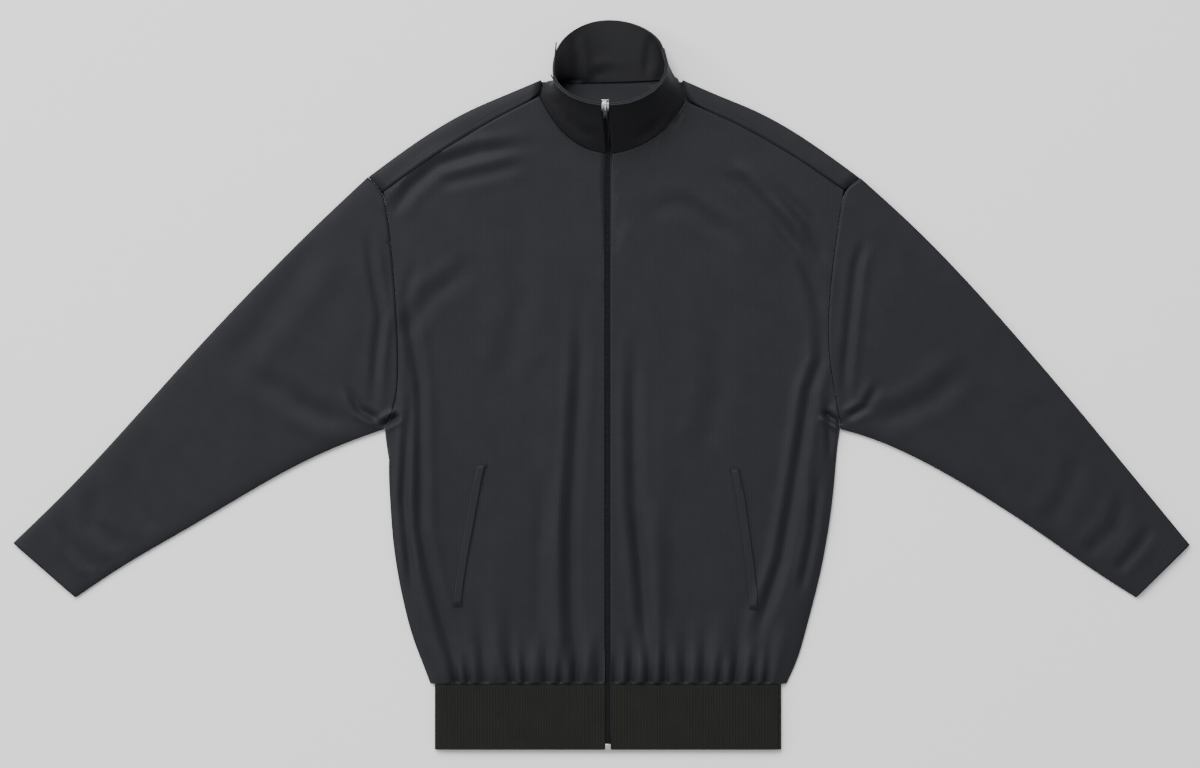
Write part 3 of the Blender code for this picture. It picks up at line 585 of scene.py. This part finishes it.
def one_stitch():
    """A short thread lying along x, rounded at its ends."""
    bpy.ops.object.select_all(action="DESELECT")
    bpy.ops.mesh.primitive_cylinder_add(vertices=6, radius=STITCH_WIDTH / 2 * MM,
                                        depth=STITCH_LENGTH * MM, rotation=(0, math.pi / 2, 0))
    stitch = bpy.context.object
    bpy.ops.object.transform_apply(location=False, rotation=True, scale=False)
    rounded = stitch.modifiers.new("rounded", "BEVEL")
    rounded.width = 0.00014
    rounded.segments = 1
    bpy.ops.object.modifier_apply(modifier=rounded.name)
    return stitch


def joined_tree(pieces):
    """One search tree over several pieces, to find the cloth under a place."""
    points, faces = [], []
    for piece in pieces:
        start = len(points)
        points += [v.co.copy() for v in piece.data.vertices]
        faces += [[start + i for i in polygon.vertices] for polygon in piece.data.polygons]
    return BVHTree.FromPolygons(points, faces)


def row_points(line, step):
    """Places `step` apart along a line, and the direction there."""
    line = np.array(line, float)
    spans = np.linalg.norm(np.diff(line, axis=0), axis=1)
    starts = np.concatenate([[0], np.cumsum(spans)])
    at = np.arange(step / 2, starts[-1], step)
    x, y = np.interp(at, starts, line[:, 0]), np.interp(at, starts, line[:, 1])
    span = np.clip(np.searchsorted(starts, at) - 1, 0, len(spans) - 1)
    direction = np.diff(line, axis=0)[span] / spans[span][:, None]
    return zip(x, y, direction)


def copies(name, model, places, finish, body="jacket"):
    """One mesh of many copies of a model, each at a matrix."""
    mesh = bmesh.new()
    for place in places:
        before = len(mesh.verts)
        mesh.from_mesh(model.data)
        mesh.verts.ensure_lookup_table()
        bmesh.ops.transform(mesh, matrix=place, verts=mesh.verts[before:])
    made = bpy.data.objects.new(name, bpy.data.meshes.new(name))
    mesh.to_mesh(made.data)
    mesh.free()
    bpy.context.scene.collection.objects.link(made)
    made.data.materials.append(finish)
    made.data.shade_smooth()
    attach(made, body)
    print(f"{name}: {len(places)} copies, {len(made.data.polygons)} faces")
    return made


CLOTH_TREE = joined_tree([front_right, front_left, back, sleeve_right, sleeve_left])


def on_cloth(x, y, direction, sink=0.0):
    """Where a thing lies on the cloth at a garment place, turned along a direction."""
    start = Vector((ZIP_X + x * MM, HEM_Y + y * MM, 1.0))
    hit, normal, _, _ = CLOTH_TREE.ray_cast(start, Vector((0, 0, -1)))
    if hit is None:
        return None
    along = Vector((direction[0], direction[1], 0))
    along = (along - normal * along.dot(normal)).normalized()
    turn = Matrix((along, normal.cross(along), normal)).transposed().to_4x4()
    return Matrix.Translation(hit - normal * sink * MM) @ turn


def stitch_rows(name, lines):
    """Stitches along each line, on the cloth."""
    model = one_stitch()
    places = []
    for line in lines:
        for x, y, direction in row_points(line, STITCH_STEP):
            place = on_cloth(x, y, direction)
            if place is not None:
                places.append(place)
    made = copies(name, model, places, CLOTHS["thread"])
    bpy.data.objects.remove(model)
    return made


# %% Where the rows run
def beside(line, distance):
    """A line moved sideways by a distance, to its left."""
    line = np.array(line, float)
    run = np.gradient(line, axis=0)
    run /= np.linalg.norm(run, axis=1, keepdims=True)
    return line + np.stack([-run[:, 1], run[:, 0]], axis=-1) * distance


SHOULDER_RIGHT = ((-80, 751), (-135, 723), (-200, 683), (-256, 644))
SHOULDER_LEFT = ((90, 745), (148, 720), (212, 684), (269, 646))
NECK_RIGHT = ((-10, 686), (-32, 694), (-48, 706), (-62, 721), (-72, 737), (-78, 750))
NECK_LEFT = ((12, 686), (34, 692.5), (55, 705), (72, 721), (82, 734), (88, 744))
CUFF_RIGHT = ((-681, 236), (-648, 207), (-616, 179))
CUFF_LEFT = ((666, 234), (638, 206), (611, 179))
POCKET_RIGHT = ((-150, 328), (-157, 297), (-163, 263), (-170, 226), (-175, 194), (-178, 167))
POCKET_LEFT = ((150, 323), (156, 297), (161, 263), (166, 227), (170, 195), (172, 164))
ZIP_EDGE = ((0, 84), (0, 250), (0, 450), (0, 676))

stitch_rows("stitch_shoulders", [beside(SHOULDER_RIGHT, -1.8), beside(SHOULDER_RIGHT, -8.1),
                                 beside(SHOULDER_LEFT, 1.8), beside(SHOULDER_LEFT, 8.1)])
stitch_rows("stitch_neck", [beside(NECK_RIGHT, 3.0), beside(NECK_LEFT, -3.0)])
stitch_rows("stitch_cuffs", [beside(CUFF_RIGHT, 11.5), beside(CUFF_RIGHT, 18.0),
                             beside(CUFF_LEFT, -11.5), beside(CUFF_LEFT, -18.0)])
stitch_rows("stitch_zip", [beside(ZIP_EDGE, 7.5), beside(ZIP_EDGE, -7.5)])
stitch_rows("stitch_pockets", [beside(POCKET_RIGHT, 11.2), beside(POCKET_LEFT, -11.2)])


# %% [markdown]
# ## Bar tacks
# A close zigzag locks each end of a pocket slit. The same stitch is copied, across the slit,
# and raised so that it clears the welt.

# %% Bar tacks at both ends of each pocket
TACK_RAISE = 1.55


def bar_tack(x, y, sign):
    """A close zigzag, 11 mm long, from the slit towards the zip."""
    line = []
    for step in range(23):
        line.append((x + sign * (step * 0.5 - 0.5), y + (0.9 if step % 2 else -0.9)))
    return line


tack = one_stitch()
tack_places = []
for side_line, sign in ((POCKET_RIGHT, 1), (POCKET_LEFT, -1)):
    for end in (side_line[0], side_line[-1]):
        for x, y in bar_tack(*end, sign):
            place = on_cloth(x, y, (0.25, 1.0))
            if place is not None:
                tack_places.append(Matrix.Translation((0, 0, TACK_RAISE * MM)) @ place)
copies("bar_tacks", tack, tack_places, CLOTHS["thread"])
bpy.data.objects.remove(tack)

# %% [markdown]
# ## The zip's chain
# A coil zip shows two rows of small rounded teeth that meet on the centre line. One tooth is a
# bevelled block, copied down both rows over the tapes.

# %% Teeth
TOOTH_STEP = 1.35
TAPE_TREE = joined_tree([o for o in bpy.data.objects if o.name.startswith("shell_tape_")])
bpy.ops.object.select_all(action="DESELECT")
bpy.ops.mesh.primitive_cube_add(size=1)
tooth = bpy.context.object
tooth.scale = (2.3 * MM, 0.85 * MM, 1.3 * MM)
bpy.ops.object.transform_apply(location=False, rotation=False, scale=True)
tooth_edge = tooth.modifiers.new("rounded", "BEVEL")
tooth_edge.width = 0.00028
tooth_edge.segments = 2
bpy.ops.object.modifier_apply(modifier=tooth_edge.name)


def tape_places(y):
    """Where both teeth sit at a height up the front."""
    found = []
    for reach in np.arange(-8, 6, 0.5):
        start = Vector((ZIP_X + reach * MM, HEM_Y + y * MM, 1.0))
        hit, normal, _, _ = TAPE_TREE.ray_cast(start, Vector((0, 0, -1)))
        if hit is not None:
            found.append((reach, hit, normal))
    if not found:
        return []
    middle = sum(f[0] for f in found) / len(found)
    base = min(found, key=lambda f: abs(f[0] - middle + 2.0))
    hit, normal = base[1], Vector((0, base[2].y, base[2].z)).normalized()
    across = Vector((1, 0, 0))
    turn = Matrix((across, normal.cross(across), normal)).transposed().to_4x4()
    rows = []
    for sign in (-1, 1):
        centre = Vector((ZIP_X + (middle + sign * 1.05) * MM, hit.y, hit.z)) + normal * 0.5 * MM
        rows.append(Matrix.Translation(centre) @ turn)
    return rows


tooth_places = []
for y in np.arange(8.5, 728, TOOTH_STEP):
    tooth_places += tape_places(float(y))
copies("zip_chain", tooth, tooth_places, CLOTHS["tape"])
bpy.data.objects.remove(tooth)

# %% [markdown]
# ## Metal parts
# The slider, its pull and the box at the foot are small castings. Their solids already have the
# right shape, so each is copied, its edges are rounded, and it gets its metal.


# %% Slider, pull and bottom box
def casting(name, solid, finish, body):
    """A welded copy of a small solid with rounded edges."""
    piece = bpy.data.objects.new(name, frame["nodes"][solid].data.copy())
    bpy.context.scene.collection.objects.link(piece)
    select_only(piece)
    bpy.ops.object.mode_set(mode="EDIT")
    bpy.ops.mesh.select_all(action="SELECT")
    bpy.ops.mesh.remove_doubles(threshold=0.00001)
    bpy.ops.mesh.dissolve_limited(angle_limit=math.radians(3))
    bpy.ops.object.mode_set(mode="OBJECT")
    edge = piece.modifiers.new("rounded", "BEVEL")
    edge.width = 0.00022
    edge.segments = 2
    edge.limit_method = "ANGLE"
    bpy.ops.object.modifier_apply(modifier=edge.name)
    piece.data.materials.clear()
    piece.data.materials.append(finish)
    piece.data.shade_smooth()
    piece.data.set_sharp_from_angle(angle=math.radians(40))
    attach(piece, body)
    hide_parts(solid)
    print(name, len(piece.data.polygons), "faces")
    return piece


casting("slider_cast", "zip_slider", SILVER, "jacket")
casting("box_cast", "zip_box", SILVER, "jacket")
casting("pull_cast", "zip_pull", GUNMETAL, "pull")

# %% [markdown]
# ## Table and light
# A plain white table under broad soft light: one large lamp above and a weaker one from the
# upper left, so that the folds read as soft light and dark.

# %% Table and lamps
bpy.ops.object.select_all(action="DESELECT")
bpy.ops.mesh.primitive_plane_add(size=14, location=(0, 0, -0.0006))
table = bpy.context.object
table.name = "table"
table_paint = bpy.data.materials.new("table_paint")
table_paint.use_nodes = True
paint = table_paint.node_tree.nodes["Principled BSDF"]
paint.inputs["Base Color"].default_value = (0.93, 0.93, 0.93, 1)
paint.inputs["Roughness"].default_value = 0.9
table.data.materials.append(table_paint)


def lamp(name, place, size, power):
    """A square area lamp aimed at the jacket."""
    data = bpy.data.lights.new(name, "AREA")
    data.size = size
    data.energy = power
    made = bpy.data.objects.new(name, data)
    made.location = place
    made.rotation_euler = (-Vector(place)).to_track_quat("-Z", "Y").to_euler()
    bpy.context.scene.collection.objects.link(made)


lamp("high", (-0.9, 2.6, 3.4), 2.6, 120)
lamp("left", (-3.6, 0.8, 1.7), 1.6, 60)
sun_data = bpy.data.lights.new("window", "SUN")
sun_data.energy = 1.9
sun_data.angle = math.radians(35)
sun = bpy.data.objects.new("window", sun_data)
sun.rotation_euler = Vector((0.45, -0.85, -0.75)).to_track_quat("-Z", "Y").to_euler()
bpy.context.scene.collection.objects.link(sun)
world = bpy.data.worlds.new("studio")
world.use_nodes = True
world.node_tree.nodes["Background"].inputs["Color"].default_value = (1, 1, 1, 1)
world.node_tree.nodes["Background"].inputs["Strength"].default_value = 0.62
bpy.context.scene.world = world
